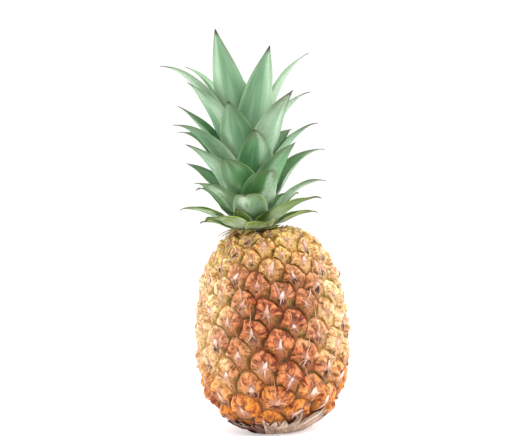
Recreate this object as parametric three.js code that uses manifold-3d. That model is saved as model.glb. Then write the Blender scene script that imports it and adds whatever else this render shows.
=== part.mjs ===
// A pineapple with its crown, standing on its base. Millimetres, +Z up, origin at the centre of the base.
// The fruit's skin is one closed surface with a raised cell for each eye. The stalk, the dry bracts under
// the base, the stem of the crown and every leaf on it are pieces of their own.
import * as THREE from "three";
import { ConvexHull } from "three/addons/math/ConvexHull.js";
import { mergeVertices } from "three/addons/utils/BufferGeometryUtils.js";
import Module from "manifold-3d";

const wasm = await Module();
wasm.setup();

const { clamp, degToRad, lerp } = THREE.MathUtils;

// Eyes and leaves each follow the one before it round the plant by this angle.
const goldenAngle = degToRad(137.508);
const gap = 0.3; // between pieces that touch

const fruit = {
  height: 170, // the axis, from the table to the top of the skin
  widest: 76, // height of the greatest girth
  radius: 60.5, // there, in the grooves between the eyes
  baseDrop: 1.5, // the lower curve would close this far below the table
  baseLift: 1.4, // the underside clears the table by this, for the bracts
  eyeArea: [560, 525, 495, 440, 334, 220], // of one eye, at even heights from the base up, mm2
  phase: degToRad(341.7), // azimuth of the uppermost eye
  relief: 2.7, // height of an eye's shoulder over the grooves
  puff: 0.28, // the share by which its upper side is higher and its lower side lower
  shoulder: 0.8, // where in the eye, from its centre out, that height is reached
  ring: 0.42, // the ring round the beak
  beak: 4.6, // height of the bract's beak over the grooves
  beakRise: 0.36, // how far the beak leans towards the crown, in radii of the eye
  topFade: [21, 31], // distances from the axis between which the relief of the top comes in
  baseFade: [30, 50], // and that of the base
  unevenness: 0.12,
};
const stalk = { radius: 12, depth: 12, taper: 0.6, sides: 20 };
const bracts = {
  height: [17, 12, 12, 13, 11, 11, 13, 18], // of each one's tip, from +X round to +Y
  inner: 12.4, // from the axis to the foot
  width: 27,
  thickness: 1,
  clearance: 1.3, // over the fruit's relief
  clasp: 0.34, // half the angle, in radians, that one may take round the fruit
};

// The crown has its own frame: its foot is at the top of the fruit, a little off the axis, and it leans.
const crown = {
  offset: -11,
  sink: 0.8,
  lean: degToRad(-1.8),
  leaves: 46,
  phase: degToRad(285.5), // azimuth of the lowest leaf
  first: 1.6, // height of its foot
  last: 73, // and of the innermost leaf's
  spread: 1.42, // over 1 crowds the lower leaves together
  // Each list runs from the lowest leaf to the innermost.
  length: [45, 66, 86, 104, 52],
  width: [24, 32, 37, 38, 34],
  footAngle: [20, 47, 63, 72, 80], // over the horizontal, where the leaf leaves the stem
  tipAngle: [-34, -20, 2, 36, 79],
  bend: 3.2, // over 1 keeps the lower part of a leaf straight and bends the tip
  footThickness: 0.75,
  footGap: 0.15, // from a leaf's foot to the stem, over the usual gap
  thickness: 1.5,
  tipThickness: 0.65,
  channel: [40, 28, 25, 25, 25], // radius of the trough along a leaf
  opening: 0.35, // the trough has opened at this share of the length
  clasp: degToRad(52), // half the angle that a foot may take round the stem
  wander: { azimuth: degToRad(5), sweep: degToRad(8), length: 0.08, tip: 7 }, // departures from the rule
  seed: 40,
  // Some leaves depart further from the rule: share of the length, then degrees added to the slope of the
  // tip, to the azimuth, and to the sweep.
  odd: {
    5: [1.16, 12, 0, 0],
    8: [0.95, 4, 0, 0],
    11: [0.88, 12, 14, 0],
    13: [0.92, -4, -10, 0],
    14: [0.92, 24, -8, 0],
    15: [1.12, 0, 0, 0],
    16: [0.94, 6, 12, 0],
    18: [0.86, 28, -20, 0],
    19: [0.86, 28, 22, 0],
    21: [0.88, 14, 8, -3],
    23: [0.94, -8, 0, 0],
    24: [1.02, -12, -14, 0],
    26: [1.02, 8, 0, 0],
    27: [0.93, 8, 0, 0],
    28: [0.88, 0, 0, 0],
    29: [0.82, 18, -4, 0],
    31: [0.84, -18, 0, 0],
    32: [0.86, 10, 14, -4],
    34: [1.15, 8, 10, 0],
    35: [1.18, -42, 38, 0],
    36: [1.12, -24, -8, 0],
    37: [1.22, 16, 6, 0],
    40: [1.24, -48, -20, 0],
  },
};
// Heights on the stem of the crown, and its radius at the first two and at the last two.
const stem = {
  foot: -4,
  shoulder: 1,
  top: 74,
  tip: 86,
  radius: 13.7,
  topRadius: 4.8,
  tipRadius: 0.8,
  sides: 16,
};

// A value from an evenly spaced list, on a smooth curve through its entries.
function along(list, t) {
  const x = clamp(t, 0, 1) * (list.length - 1);
  const i = Math.min(Math.floor(x), list.length - 2);
  const at = (j) => list[clamp(j, 0, list.length - 1)];
  const f = x - i;
  const rise = at(i + 1) - at(i);
  const slopeIn = (at(i + 1) - at(i - 1)) / 2;
  const slopeOut = (at(i + 2) - at(i)) / 2;
  const cubic = slopeIn + slopeOut - 2 * rise;
  return at(i) + f * (slopeIn + f * (rise - slopeIn - cubic + f * cubic));
}

// A number from -1 to 1 that looks random and is the same on every run.
function wobble(index, kind) {
  const x = Math.sin(index * 12.9898 + kind * 78.233) * 43758.5453;
  return 2 * (x - Math.floor(x)) - 1;
}

function solidOf(geometry) {
  const bare = geometry.clone();
  bare.deleteAttribute("normal");
  bare.deleteAttribute("uv");
  const merged = mergeVertices(bare, 1e-3);
  const vertProperties = merged.attributes.position.array;
  return new wasm.Manifold(
    new wasm.Mesh({ numProp: 3, vertProperties, triVerts: new Uint32Array(merged.index.array) })
  );
}

function geometryOf(solid) {
  const { vertProperties, triVerts } = solid.getMesh();
  return new THREE.BufferGeometry()
    .setAttribute("position", new THREE.BufferAttribute(vertProperties, 3))
    .setIndex(new THREE.BufferAttribute(triVerts, 1))
    .toNonIndexed();
}

// ---- The fruit ----

// Half the fruit's width at a height, in the grooves: a barrel, fuller above its middle than below it.
function fruitRadius(z) {
  if (z > fruit.widest) {
    const t = (z - fruit.widest) / (fruit.height - fruit.widest);
    return fruit.radius * Math.cbrt(Math.max(0, 1 - t ** 2.2));
  }
  const t = (fruit.widest - z) / (fruit.widest + fruit.baseDrop);
  return fruit.radius * Math.sqrt(1 - t ** 2.5);
}

// The share of its full relief that the skin has at a height: none near the stem and the stalk.
function reliefShare(z) {
  const [from, to] = z > fruit.widest ? fruit.topFade : fruit.baseFade;
  return clamp((fruitRadius(z) - from) / (to - from), 0, 1);
}

function eyeArea(z) {
  return along(fruit.eyeArea, z / fruit.height);
}

// The outline from the top of the axis down to the base's centre. Each point holds its radius and height,
// the number of eyes above it, and psi, its latitude on a map of the skin that keeps shapes true: eyes laid
// out on a sphere, with tanh(psi) as their height there, have the same shape on the fruit.
function traceProfile() {
  const points = [];
  const steps = 400;
  for (let i = 1; i <= steps; i++) {
    const z = (fruit.height * (1 + Math.cos((Math.PI * i) / (steps + 1)))) / 2;
    points.push({ r: fruitRadius(z), z });
  }
  const rim = fruitRadius(0);
  const rings = 60;
  for (let i = 0; i < rings; i++) points.push({ r: rim * (1 - i / rings), z: 0 });
  let eyes = 0;
  let psi = 0;
  points.forEach((p, i) => {
    const before = points[i - 1] ?? p;
    const step = Math.hypot(p.r - before.r, p.z - before.z);
    const r = (p.r + before.r) / 2;
    eyes += (2 * Math.PI * r * step) / eyeArea(p.z);
    psi -= step / r;
    Object.assign(p, { eyes, psi });
  });
  const middle = points.find((p) => p.z <= fruit.widest).psi;
  points.forEach((p) => (p.psi -= middle));
  return points;
}
const profile = traceProfile();

// The point of the outline where one of its measures reaches a value, and the skin's outward direction.
function profileAt(measure, value) {
  const rising = profile.at(-1)[measure] > profile[0][measure];
  let i = profile.findIndex((p) => (rising ? p[measure] >= value : p[measure] <= value));
  if (i < 0) i = profile.length - 1;
  const b = profile[Math.max(i, 1)];
  const a = profile[Math.max(i, 1) - 1];
  const f = clamp((value - a[measure]) / (b[measure] - a[measure]), 0, 1);
  const down = new THREE.Vector2(b.r - a.r, b.z - a.z).normalize();
  return { r: lerp(a.r, b.r, f), z: lerp(a.z, b.z, f), psi: lerp(a.psi, b.psi, f), out: -down.y, up: down.x };
}

// From a direction on the map's sphere to the skin, raised by a height over the grooves.
function onSkin(direction, height) {
  const d = direction.clone().normalize();
  const p = profileAt("psi", Math.atanh(clamp(d.z, -0.99999, 0.99999)));
  const azimuth = Math.atan2(d.y, d.x);
  const r = Math.max(0, p.r + p.out * height);
  const z = Math.max(fruit.baseLift, p.z + p.up * height);
  return new THREE.Vector3(r * Math.cos(azimuth), r * Math.sin(azimuth), z);
}

// The middle of every eye: a point on the map's sphere, and its height on the fruit.
function layEyes() {
  const eyes = [];
  for (let i = 0; i < Math.floor(profile.at(-1).eyes); i++) {
    const { z, psi } = profileAt("eyes", i + 0.5);
    const azimuth = fruit.phase + i * goldenAngle;
    const flat = 1 / Math.cosh(psi);
    const middle = new THREE.Vector3(flat * Math.cos(azimuth), flat * Math.sin(azimuth), Math.tanh(psi));
    eyes.push({ z, middle, corners: [] });
  }
  return eyes;
}

// Gives each eye the corners of its cell, in order round it, with its up direction and its mean radius on
// the map. A triangle of the hull joins three neighbours, and they share a corner in its middle.
function findCorners(eyes) {
  const eyeAt = new Map(eyes.map((eye) => [eye.middle, eye]));
  const hull = new ConvexHull().setFromPoints(eyes.map((eye) => eye.middle));
  for (const face of hull.faces) {
    const around = [0, 1, 2].map((i) => face.getEdge(i).head().point);
    const centroid = around.reduce((sum, p) => sum.add(p), new THREE.Vector3()).normalize();
    const corner = centroid.add(face.normal).normalize();
    around.forEach((p) => eyeAt.get(p).corners.push(corner));
  }
  for (const eye of eyes) {
    const east = new THREE.Vector3(-eye.middle.y, eye.middle.x, 0).normalize();
    eye.north = new THREE.Vector3().crossVectors(eye.middle, east);
    const bearing = (c) => Math.atan2(c.dot(eye.north), c.dot(east));
    eye.corners.sort((a, b) => bearing(a) - bearing(b));
    eye.radius = eye.corners.reduce((sum, c) => sum + c.distanceTo(eye.middle), 0) / eye.corners.length;
  }
}

// One closed skin: for each eye a border in the grooves, a raised shoulder, a ring and the bract's beak.
function makeSkin() {
  const positions = [];
  const triangles = [];
  const borders = new Map(); // neighbours share the points of their borders
  const place = (direction, height) => positions.push(onSkin(direction, height)) - 1;
  const placeOnce = (direction) => {
    const key = direction.toArray().map((x) => x.toFixed(5)).join();
    if (!borders.has(key)) borders.set(key, place(direction, 0));
    return borders.get(key);
  };
  const eyes = layEyes();
  findCorners(eyes);
  eyes.forEach(({ z, middle, corners, north, radius }, n) => {
    const share = reliefShare(z) * Math.sqrt(eyeArea(z) / eyeArea(fruit.widest));
    const size = share * (1 + fruit.unevenness * wobble(n, 7));
    const rim = corners.flatMap((c, i) => {
      const next = corners[(i + 1) % corners.length];
      return [c, c.clone().add(next).normalize()];
    });
    const inwards = (p, part, height) => {
      const upper = p.clone().sub(middle).dot(north) / radius;
      return place(middle.clone().lerp(p, part), height * size * (1 + fruit.puff * upper));
    };
    const border = rim.map(placeOnce);
    const shoulder = rim.map((p) => inwards(p, fruit.shoulder, fruit.relief));
    const ring = corners.map((p) => inwards(p, fruit.ring, fruit.relief * 1.08));
    const beakFoot = middle.clone().addScaledVector(north, radius * fruit.beakRise * share);
    const beak = place(beakFoot, fruit.beak * size);
    rim.forEach((_, i) => {
      const j = (i + 1) % rim.length;
      triangles.push(border[i], border[j], shoulder[j], border[i], shoulder[j], shoulder[i]);
    });
    ring.forEach((_, i) => {
      const j = (i + 1) % ring.length;
      const [a, b, c] = [shoulder[2 * i], shoulder[2 * i + 1], shoulder[(2 * i + 2) % rim.length]];
      triangles.push(a, b, ring[i], ring[i], b, ring[j], b, c, ring[j], ring[i], ring[j], beak);
    });
  });
  return new THREE.BufferGeometry().setFromPoints(positions).setIndex(triangles);
}

function upright(radiusBelow, radiusAbove, below, above, sides) {
  return new THREE.CylinderGeometry(radiusAbove, radiusBelow, above - below, sides)
    .rotateX(Math.PI / 2)
    .translate(0, 0, (below + above) / 2);
}

function makeFruit() {
  const stalkHole = upright(stalk.radius + gap, stalk.radius + gap, -5, stalk.depth + gap, stalk.sides);
  const stemHole = upright(stem.radius + gap, stem.radius + gap, stem.foot - gap, 9, stem.sides);
  crownFrame.updateMatrix();
  stemHole.applyMatrix4(crownFrame.matrix);
  return geometryOf(solidOf(makeSkin()).subtract(solidOf(stalkHole)).subtract(solidOf(stemHole)));
}

// ---- Blades: leaves and bracts ----

// A thin closed blade bent from a flat box. pointAt(s, u) is a point of its middle surface, s from the foot
// to the tip and u from edge to edge.
function blade(pointAt, thicknessAt, stations, across) {
  const box = new THREE.BoxGeometry(2, 2, 2, across.length - 1, stations.length - 1, 1);
  const corner = box.attributes.position;
  const pick = (list, x) => list[Math.round(((x + 1) / 2) * (list.length - 1))];
  const step = 1e-3;
  for (let i = 0; i < corner.count; i++) {
    const u = pick(across, corner.getX(i));
    const s = pick(stations, corner.getY(i));
    const alongS = pointAt(s + step, u).sub(pointAt(s - step, u));
    const alongU = pointAt(s, u + step).sub(pointAt(s, u - step));
    const face = alongU.cross(alongS).setLength((corner.getZ(i) * thicknessAt(s, u)) / 2);
    corner.setXYZ(i, ...pointAt(s, u).add(face));
  }
  return box;
}

// The middle line of a leaf in its upright plane: angleAt(s) is its slope over the horizontal.
function trace(start, length, angleAt) {
  const steps = 60;
  const line = [start];
  for (let i = 0; i < steps; i++) {
    const angle = angleAt((i + 0.5) / steps);
    const { r, z } = line.at(-1);
    line.push({ r: r + (Math.cos(angle) * length) / steps, z: z + (Math.sin(angle) * length) / steps });
  }
  return (s) => {
    const i = clamp(Math.floor(s * steps), 0, steps - 1);
    const f = s * steps - i;
    return { r: lerp(line[i].r, line[i + 1].r, f), z: lerp(line[i].z, line[i + 1].z, f) };
  };
}

function stemRadius(z) {
  const lower = clamp((z - stem.shoulder) / (stem.top - stem.shoulder), 0, 1);
  const upper = clamp((z - stem.top) / (stem.tip - stem.top), 0, 1);
  return lerp(lerp(stem.radius, stem.topRadius, lower), stem.tipRadius, upper);
}

// Half the width of a leaf as a share of its widest: full below the middle, drawn out to a fine tip.
function leafOutline(s) {
  const foot = 0.78 + 0.22 * Math.sin((Math.PI / 2) * clamp(s / 0.36, 0, 1));
  const taper = clamp((s - 0.36) / 0.64, 0, 1);
  return foot * (1 - taper ** 1.6) * (1 - 0.25 * taper ** 6) + 0.02;
}

// A leaf bends in its upright plane and wraps round the crown's axis as part of a surface of revolution.
// Leaves higher on the stem lie on surfaces inside those of the lower ones, so they never cross.
function makeLeaf(k) {
  const t = k / (crown.leaves - 1);
  const vary = (kind) => wobble(k, crown.seed + kind);
  const [growth, lift, aside, swept] = crown.odd[k] ?? [1, 0, 0, 0];
  const azimuth = crown.phase - k * goldenAngle + crown.wander.azimuth * vary(1) + degToRad(aside);
  const length = along(crown.length, t) * (1 + crown.wander.length * vary(3)) * growth;
  const sweep = crown.wander.sweep * vary(2) + degToRad(swept);
  const footAngle = degToRad(along(crown.footAngle, t));
  const freedom = Math.min(1, 0.2 + 3 * t); // the lowest leaves lie close together
  const tipAngle = degToRad(along(crown.tipAngle, t) + crown.wander.tip * freedom * vary(4) + lift);
  const foot = lerp(crown.first, crown.last, t ** crown.spread);
  const start = { r: stemRadius(foot) + crown.footThickness / 2 + gap + crown.footGap, z: foot };
  const angleAt = (s) => lerp(footAngle, tipAngle, clamp(s, 0, 1) ** crown.bend);
  const middle = trace(start, length, angleAt);
  const pointAt = (s, u) => {
    const { r, z } = middle(s);
    const angle = angleAt(s);
    const side = u * Math.min((along(crown.width, t) / 2) * leafOutline(s), r * crown.clasp);
    const turn = azimuth + side / r + sweep * s * s;
    const curve = clamp(s / crown.opening, 0, 1) / along(crown.channel, t);
    const trough = (Math.max(0, curve - Math.sin(angle) / r) * side * side) / 2;
    const reach = r - Math.sin(angle) * trough;
    return new THREE.Vector3(reach * Math.cos(turn), reach * Math.sin(turn), z + Math.cos(angle) * trough);
  };
  const thicknessAt = (s, u) => {
    const thickening = lerp(crown.footThickness, crown.thickness, clamp(s / crown.opening, 0, 1));
    const thinning = lerp(crown.tipThickness, crown.thickness, clamp((1 - s) / 0.65, 0, 1));
    return Math.max(crown.tipThickness, Math.min(thickening, thinning) * (1 - 0.4 * Math.abs(u)));
  };
  return blade(pointAt, thicknessAt, [0, 0.1, 0.22, 0.36, 0.5, 0.64, 0.78, 0.9, 1], [-1, -0.36, 0.36, 1]);
}

// A dry bract: flat on the table under the base, then up along the fruit's flank, clear of its relief.
function makeBract(i) {
  const azimuth = ((i + 0.06 * wobble(i, 5)) / bracts.height.length) * 2 * Math.PI;
  const rim = fruitRadius(fruit.baseLift);
  const split = 0.22; // the share of the blade that lies flat
  const low = bracts.thickness / 2;
  const middle = (s) => {
    if (s < split) return { r: lerp(bracts.inner, rim, s / split), z: low };
    const height = fruit.baseLift + bracts.height[i] * ((s - split) / (1 - split)) ** 1.3;
    const { r, z, out, up } = profileAt("z", height);
    const away = fruit.beak * (1 + fruit.unevenness) * reliefShare(height) + bracts.clearance + low;
    return { r: r + out * away, z: Math.max(low, z + up * away) };
  };
  const pointAt = (s, u) => {
    const { r, z } = middle(s);
    const taper = 1 - 0.9 * clamp((s - 0.5) / 0.5, 0, 1) ** 1.7;
    const turn = azimuth + (u * Math.min((bracts.width / 2) * taper, bracts.clasp * r)) / r;
    return new THREE.Vector3(r * Math.cos(turn), r * Math.sin(turn), z);
  };
  const stations = [0, split, 0.36, 0.5, 0.63, 0.76, 0.88, 1];
  return blade(pointAt, () => bracts.thickness, stations, [-1, -0.5, 0, 0.5, 1]);
}

// ---- The whole ----

const finishes = {
  skin: new THREE.MeshStandardMaterial({ color: 0xc8813a, roughness: 0.6, metalness: 0 }),
  stalk: new THREE.MeshStandardMaterial({ color: 0xc9b183, roughness: 0.85, metalness: 0 }),
  dryBract: new THREE.MeshStandardMaterial({ color: 0xb49a82, roughness: 0.8, metalness: 0 }),
  crownStem: new THREE.MeshStandardMaterial({ color: 0xb9c79a, roughness: 0.7, metalness: 0 }),
  leaf: new THREE.MeshStandardMaterial({ color: 0x76a47a, roughness: 0.5, metalness: 0 }),
};

function add(parent, name, geometry, material) {
  const mesh = new THREE.Mesh(geometry, material);
  mesh.name = name;
  parent.add(mesh);
}

function makeStem() {
  const heights = [stem.foot, stem.shoulder, (stem.shoulder + stem.top) / 2, stem.top, stem.tip];
  const sides = heights.map((z) => new THREE.Vector2(stemRadius(z), z));
  const outline = [new THREE.Vector2(0, stem.foot), ...sides, new THREE.Vector2(0, stem.tip)];
  return new THREE.LatheGeometry(outline, stem.sides).rotateX(Math.PI / 2);
}

const pineapple = new THREE.Group();
const crownFrame = new THREE.Group();
crownFrame.position.set(crown.offset, 0, fruit.height - crown.sink);
crownFrame.rotation.y = crown.lean;
pineapple.add(crownFrame);

add(pineapple, "fruit", makeFruit(), finishes.skin);
const stalkShape = upright(stalk.radius, stalk.radius - stalk.taper, 0, stalk.depth, stalk.sides);
add(pineapple, "stalk", stalkShape, finishes.stalk);
for (let i = 0; i < bracts.height.length; i++) {
  add(pineapple, `base_bract_${i + 1}`, makeBract(i), finishes.dryBract);
}
add(crownFrame, "crown_stem", makeStem(), finishes.crownStem);
for (let k = 0; k < crown.leaves; k++) {
  add(crownFrame, `crown_leaf_${String(k + 1).padStart(2, "0")}`, makeLeaf(k), finishes.leaf);
}

export default pineapple;
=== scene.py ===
import math

import bpy
import numpy as np
from mathutils import Matrix, Vector


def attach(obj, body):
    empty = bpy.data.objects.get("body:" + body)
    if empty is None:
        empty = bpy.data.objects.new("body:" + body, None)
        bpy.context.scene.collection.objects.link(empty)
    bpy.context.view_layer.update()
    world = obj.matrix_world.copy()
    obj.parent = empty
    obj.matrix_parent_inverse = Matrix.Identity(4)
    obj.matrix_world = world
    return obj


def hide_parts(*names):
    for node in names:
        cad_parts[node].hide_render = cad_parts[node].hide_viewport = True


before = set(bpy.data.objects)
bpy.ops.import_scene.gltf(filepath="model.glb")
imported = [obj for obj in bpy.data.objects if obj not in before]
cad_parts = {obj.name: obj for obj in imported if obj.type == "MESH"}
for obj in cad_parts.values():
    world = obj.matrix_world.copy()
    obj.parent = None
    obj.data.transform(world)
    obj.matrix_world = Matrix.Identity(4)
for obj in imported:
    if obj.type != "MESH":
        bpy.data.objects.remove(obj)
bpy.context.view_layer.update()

mm = 0.001  # the sizes below are in millimetres
goldenAngle = math.radians(137.508)  # from each eye or leaf to the next, round the plant


def wobble(index, kind):  # a number from -1 to 1, the same on every run
    x = np.sin(index * 12.9898 + kind * 78.233) * 43758.5453
    return 2 * (x - np.floor(x)) - 1


def share(index, kind):  # the same from 0 to 1
    return wobble(index, kind) / 2 + 0.5


def along(values, t):  # a smooth curve through evenly spaced values
    x = np.clip(t, 0, 1) * (len(values) - 1)
    i = np.minimum(np.floor(x).astype(int), len(values) - 2)
    listed = np.array([values[0], *values, values[-1]], float)
    before, first, second = listed[i], listed[i + 1], listed[i + 2]
    after = listed[np.minimum(i + 3, len(values) + 1)]
    f = x - i
    slopeIn, slopeOut, rise = (second - before) / 2, (after - first) / 2, second - first
    cubic = slopeIn + slopeOut - 2 * rise
    return first + f * (slopeIn + f * (rise - slopeIn - cubic + f * cubic))


def climb(value, low, high):  # 0 at low, 1 at high
    return np.clip((value - low) / (high - low), 0, 1)


def ramp(value, low, high):  # the same, eased
    t = climb(value, low, high)
    return t * t * (3 - 2 * t)


def lerp(a, b, t):
    return a + (b - a) * t


def deselectAll():
    bpy.ops.object.select_all(action="DESELECT")


def activate(piece):
    deselectAll()
    piece.select_set(True)
    bpy.context.view_layer.objects.active = piece


def startEdit():
    bpy.ops.object.mode_set(mode="EDIT")
    bpy.ops.mesh.select_all(action="SELECT")


def endEdit():
    bpy.ops.object.mode_set(mode="OBJECT")


def getPoints(mesh):
    points = np.empty(len(mesh.vertices) * 3)
    mesh.vertices.foreach_get("co", points)
    return points.reshape(-1, 3)


def setPoints(mesh, points):
    mesh.vertices.foreach_set("co", points.ravel())
    mesh.update()


def paintCorners(mesh, name, values):  # values by vertex, kept at the faces' corners, so a merge leaves them
    vertexOfCorner = np.empty(len(mesh.loops), np.int32)
    mesh.loops.foreach_get("vertex_index", vertexOfCorner)
    layer = mesh.attributes.new(name, "FLOAT_VECTOR", "CORNER")
    layer.data.foreach_set("vector", values[vertexOfCorner].ravel())


def copyOf(blank, name):
    piece = bpy.data.objects.new(name, blank.data.copy())
    bpy.context.collection.objects.link(piece)
    return piece


def joinAll(pieces, name):
    deselectAll()
    for piece in pieces:
        piece.select_set(True)
    bpy.context.view_layer.objects.active = pieces[0]
    bpy.ops.object.join()
    pieces[0].name = name
    pieces[0].data.name = name
    return pieces[0]


def finishPiece(piece, material, nodes=()):
    activate(piece)
    bpy.ops.object.shade_smooth()
    piece.data.materials.clear()
    piece.data.materials.append(material)
    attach(piece, "root")
    if nodes:
        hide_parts(*nodes)


def linear(code):  # a colour such as "c8703a" as the renderer wants it
    parts = [int(code[i:i + 2], 16) / 255 for i in (0, 2, 4)]
    return [p / 12.92 if p <= 0.04045 else ((p + 0.055) / 1.055) ** 2.4 for p in parts] + [1]


class Wire:  # one socket, with sums written as plain Python
    def __init__(self, finish, socket):
        self.finish = finish
        self.socket = socket

    def sum(self, operation, *values):
        return self.finish.node("Math", {"operation": operation}, values)

    def __add__(self, other):
        return self.sum("ADD", self, other)

    def __radd__(self, other):
        return self.sum("ADD", other, self)

    def __sub__(self, other):
        return self.sum("SUBTRACT", self, other)

    def __rsub__(self, other):
        return self.sum("SUBTRACT", other, self)

    def __mul__(self, other):
        return self.sum("MULTIPLY", self, other)

    def __rmul__(self, other):
        return self.sum("MULTIPLY", other, self)

    def __pow__(self, other):
        return self.sum("POWER", self, other)

    def __abs__(self):
        return self.sum("ABSOLUTE", self)


class Finish:  # a material, or the world's light, under construction
    def __init__(self, name, world=False):
        self.material = (bpy.data.worlds if world else bpy.data.materials).new(name)
        self.material.use_nodes = True
        self.tree = self.material.node_tree
        self.surface = self.tree.nodes["Background" if world else "Principled BSDF"]

    def node(self, kind, settings=None, values=(), out=0):
        node = self.tree.nodes.new("ShaderNode" + kind)
        for key, value in (settings or {}).items():
            if key == "stops":
                self.setStops(node.color_ramp, value)
            else:
                setattr(node, key, value)
        pairs = values.items() if isinstance(values, dict) else enumerate(values)
        for key, value in pairs:
            self.feed(node.inputs[key], value)
        return Wire(self, node.outputs[out])

    def setStops(self, colorRamp, stops):
        while len(colorRamp.elements) < len(stops):
            colorRamp.elements.new(0.5)
        for element, (place, code) in zip(colorRamp.elements, stops):
            element.position = place
            element.color = linear(code)

    def feed(self, socket, value):
        if isinstance(value, Wire):
            self.tree.links.new(value.socket, socket)
        else:
            socket.default_value = linear(value) if isinstance(value, str) else value

    def attribute(self, name):
        return self.node("Attribute", {"attribute_name": name}, out="Vector")

    def parts(self, vector):
        node = self.tree.nodes.new("ShaderNodeSeparateXYZ")
        self.feed(node.inputs[0], vector)
        return [Wire(self, output) for output in node.outputs]

    def vector(self, x, y, z):
        return self.node("CombineXYZ", None, (x, y, z))

    def place(self):
        return self.node("TexCoord", out="Object")

    def noise(self, vector, scale, detail=2.0, roughness=0.5):
        values = {"Vector": vector, "Scale": scale, "Detail": detail, "Roughness": roughness}
        return self.node("TexNoise", None, values)

    def fade(self, value, low, high):  # 0 at low, 1 at high, eased
        values = {"Value": value, "From Min": low, "From Max": high}
        return self.node("MapRange", {"interpolation_type": "SMOOTHSTEP"}, values)

    def blend(self, mask, first, second, kind="MIX"):
        settings = {"data_type": "RGBA", "blend_type": kind, "clamp_factor": True}
        values = {0: mask, 6: first, 7: second}
        return self.node("Mix", settings, values, out=2)

    def bump(self, height, distance, strength=1.0, under=None):
        values = {"Height": height, "Distance": distance, "Strength": strength}
        if under:
            values["Normal"] = under
        return self.node("Bump", None, values)

    def set(self, **values):
        for key, value in values.items():
            self.feed(self.surface.inputs[names[key]], value)
        return self.material


names = {
    "color": "Base Color",
    "roughness": "Roughness",
    "normal": "Normal",
    "specular": "Specular IOR Level",
    "subsurface": "Subsurface Weight",
    "subsurfaceScale": "Subsurface Scale",
    "glow": "Emission Color",
    "glowStrength": "Emission Strength",
    "strength": "Strength",
}


fruit = {
    "height": 170,
    "widest": 76,  # height of the greatest girth
    "radius": 60.5,  # there, in the grooves
    "baseDrop": 1.5,  # how far below the table the lower curve would close
    "baseLift": 1.4,  # the underside clears the table, for the bracts
    "eyeArea": [560, 525, 495, 440, 334, 220],  # of one eye, from the base up
    "phase": math.radians(341.7),  # azimuth of the uppermost eye
    "topFade": (12, 27),  # where the relief comes in, by distance from the axis
    "baseFade": (26, 46),
    "drift": 0.013,  # how far the borders of the eyes bend
}


def fruitRadius(z):
    upper = climb(z, fruit["widest"], fruit["height"])
    lower = climb(z, fruit["widest"], -fruit["baseDrop"])
    return fruit["radius"] * np.cbrt(1 - upper ** 2.2) * np.sqrt(1 - lower ** 2.5)


def reliefShare(z):
    r = fruitRadius(z)
    return np.where(z > fruit["widest"], climb(r, *fruit["topFade"]), climb(r, *fruit["baseFade"]))


def traceProfile():  # from the top of the axis down to the base's centre
    steps, rings = 400, 60
    z = fruit["height"] * (1 + np.cos(math.pi * np.arange(1, steps + 1) / (steps + 1))) / 2
    rim = float(fruitRadius(np.array(0.0)))
    r = np.concatenate([fruitRadius(z), rim * (1 - np.arange(rings) / rings)])
    z = np.concatenate([z, np.zeros(rings)])
    step = np.hypot(np.diff(r), np.diff(z))
    middle = (r[1:] + r[:-1]) / 2
    area = along(fruit["eyeArea"], z[1:] / fruit["height"])
    eyes = np.concatenate([[0], np.cumsum(2 * math.pi * middle * step / area)])
    psi = np.concatenate([[0], -np.cumsum(step / middle)])
    psi -= psi[np.argmax(z <= fruit["widest"])]
    down = np.stack([np.diff(r), np.diff(z)]) / step
    down = np.concatenate([down[:, :1], down], axis=1)
    return {"r": r, "z": z, "eyes": eyes, "psi": psi, "out": -down[1], "up": down[0]}


profile = traceProfile()


def profileAt(measure, value):
    keys = profile[measure]
    order = slice(None) if keys[-1] > keys[0] else slice(None, None, -1)
    return {name: np.interp(value, keys[order], line[order]) for name, line in profile.items()}


def drift(d):  # bends the borders of the eyes, which would be straight otherwise
    waves = [(23, 7, 11, 0.5), (-9, 25, 8, 2.1), (14, -17, 19, 4.0)]
    shift = np.stack([np.sin(d @ np.array(w[:3]) + w[3]) for w in waves], axis=1)
    return d + fruit["drift"] * shift


def onSkin(directions, heights):  # from the map's sphere to the skin, raised over the grooves
    d = directions / np.linalg.norm(directions, axis=1, keepdims=True)
    d = drift(d)
    d /= np.linalg.norm(d, axis=1, keepdims=True)
    p = profileAt("psi", np.arctanh(np.clip(d[:, 2], -0.99999, 0.99999)))
    azimuth = np.arctan2(d[:, 1], d[:, 0])
    r = np.maximum(0, p["r"] + p["out"] * heights)
    z = np.maximum(fruit["baseLift"], p["z"] + p["up"] * heights)
    return np.stack([r * np.cos(azimuth), r * np.sin(azimuth), z], axis=1) * mm


def layEyes():
    eyes = []
    for i in range(int(profile["eyes"][-1])):
        p = profileAt("eyes", i + 0.5)
        azimuth = fruit["phase"] + i * goldenAngle
        flat = 1 / math.cosh(p["psi"])
        middle = Vector((flat * math.cos(azimuth), flat * math.sin(azimuth), math.tanh(p["psi"])))
        eyes.append({"index": i, "z": float(p["z"]), "middle": middle, "corners": []})
    return eyes


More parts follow.
